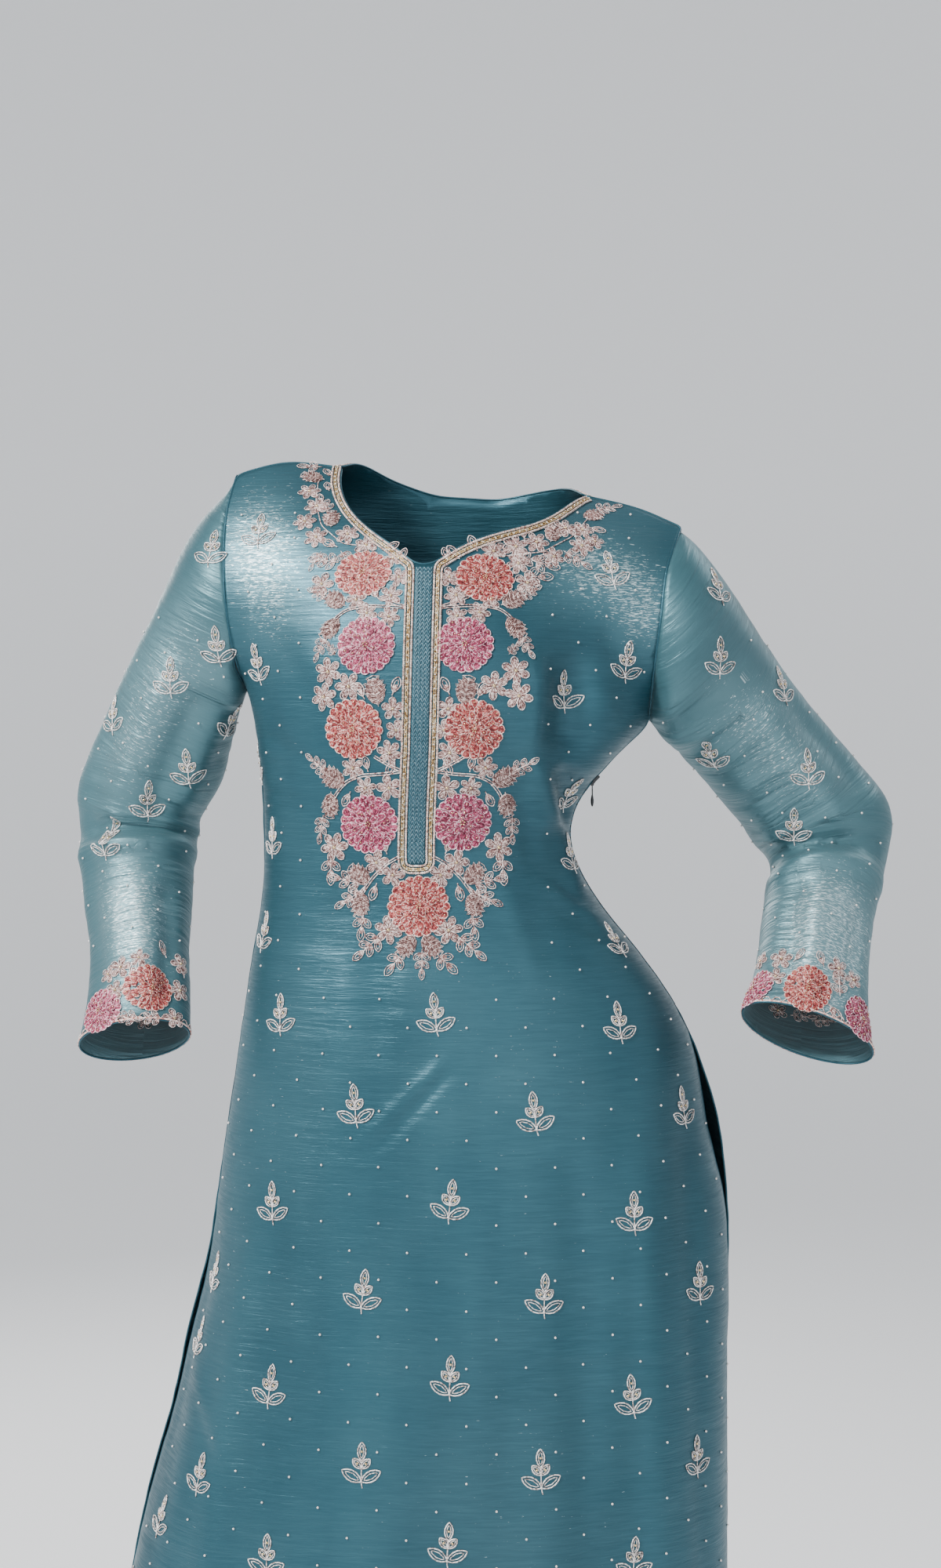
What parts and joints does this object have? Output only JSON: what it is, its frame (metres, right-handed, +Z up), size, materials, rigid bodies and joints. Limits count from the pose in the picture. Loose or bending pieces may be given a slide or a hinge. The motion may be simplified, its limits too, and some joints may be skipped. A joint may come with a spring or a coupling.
{
  "type": "salwar kameez suit",
  "caption": "Long fitted tunic of teal tissue silk with sheer sleeves, embroidered flowers, a corded neckline and placket, worn over straight trousers; hollow, in its worn pose.",
  "frame": {"origin": "between the two shoulders, where the wearer carries the suit", "axes": "+Z up along the body, -Y towards the front of the kameez, +X towards the wearer's left"},
  "size_m": [0.7099, 0.3374, 1.4217],
  "materials": {
    "body_silk": "crinkled metallic tissue silk",
    "sleeve_organza": "sheer tissue silk",
    "salwar_silk": "crinkled metallic tissue silk",
    "placket_ribbon": "stitched ribbon",
    "cord_trim": "silver and gold cord",
    "coral_thread": "satin stitched",
    "pink_thread": "satin stitched",
    "black_metal": "glossy black"
  },
  "bodies": {
    "suit": {"kameez_front": "body_silk", "kameez_back": "body_silk", "sleeve_right_upper": "sleeve_organza", "sleeve_right_lower": "sleeve_organza", "sleeve_left_upper": "sleeve_organza", "sleeve_left_lower": "sleeve_organza", "placket_strip": "placket_ribbon", "neck_trim_front": "cord_trim", "neck_trim_back": "cord_trim", "flower_1": "coral_thread", "flower_2": "coral_thread", "flower_3": "pink_thread", "flower_4": "pink_thread", "flower_5": "coral_thread", "flower_6": "coral_thread", "flower_7": "pink_thread", "flower_8": "pink_thread", "flower_9": "coral_thread", "zip_slider": "black_metal", "salwar_waistband": "salwar_silk", "salwar_leg_right": "salwar_silk", "salwar_leg_left": "salwar_silk"},
    "zip_pull": {"zip_pull": "black_metal"}
  },
  "joints": [
    {"name": "zip_pull_hinge", "type": "hinge", "parent": "suit", "child": "zip_pull", "pos_m": [0.1087, -0.0081, -0.25423], "axis": [0, -1, 0], "range_deg": [-24, 106]}
  ]
}
